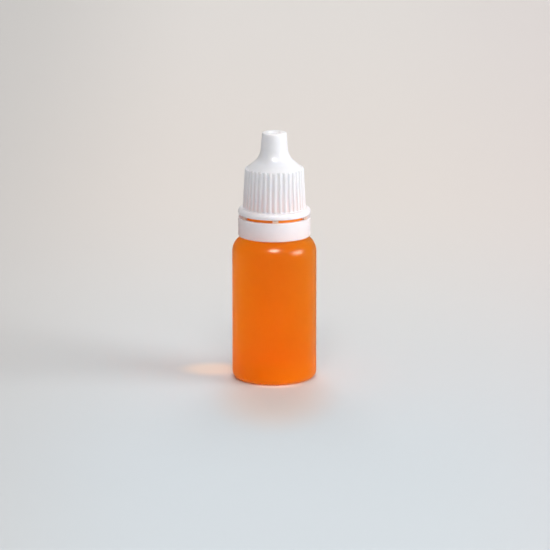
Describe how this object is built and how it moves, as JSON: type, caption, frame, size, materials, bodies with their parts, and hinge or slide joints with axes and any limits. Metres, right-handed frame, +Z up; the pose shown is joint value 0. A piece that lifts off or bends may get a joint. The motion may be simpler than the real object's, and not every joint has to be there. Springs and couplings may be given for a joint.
{
  "type": "dropper bottle",
  "caption": "Squeeze dropper bottle with a translucent body filled with orange liquid, a pressed-in nozzle and a white ribbed screw cap over a tamper-evident band.",
  "frame": {"origin": "on the bottle's axis, in the plane of the ring that the base stands on", "axes": "+Z up along the bottle's axis to the cap's tip; -Y towards the viewer of the front, where the first bridge is; +X to the viewer's right"},
  "size_m": [0.022, 0.022, 0.0654],
  "materials": {
    "natural_ldpe": "satin",
    "nozzle_ldpe": "satin",
    "orange_liquid": "polished",
    "white_cap": "satin"
  },
  "bodies": {
    "bottle": {"bottle": "natural_ldpe", "nozzle": "nozzle_ldpe", "liquid": "orange_liquid"},
    "tamper_band": {"tamper_band": "white_cap"},
    "cap": {"cap": "white_cap", "tamper_bridge_1": "white_cap", "tamper_bridge_2": "white_cap", "tamper_bridge_3": "white_cap", "tamper_bridge_4": "white_cap", "tamper_bridge_5": "white_cap", "tamper_bridge_6": "white_cap"}
  },
  "joints": [
    {"name": "cap_turn", "type": "hinge", "parent": "bottle", "child": "tamper_band", "pos_m": [0, 0, 0.0431], "axis": [0, 0, 1], "range_deg": [0, 3060.1]},
    {"name": "cap_lift", "type": "slide", "parent": "tamper_band", "child": "cap", "axis": [0, 0, 1], "range_m": [0, 0.02125]}
  ],
  "couplings": [
    {"joint": "cap_turn", "follows": "cap_lift", "rad_per_m": 2513.3}
  ]
}
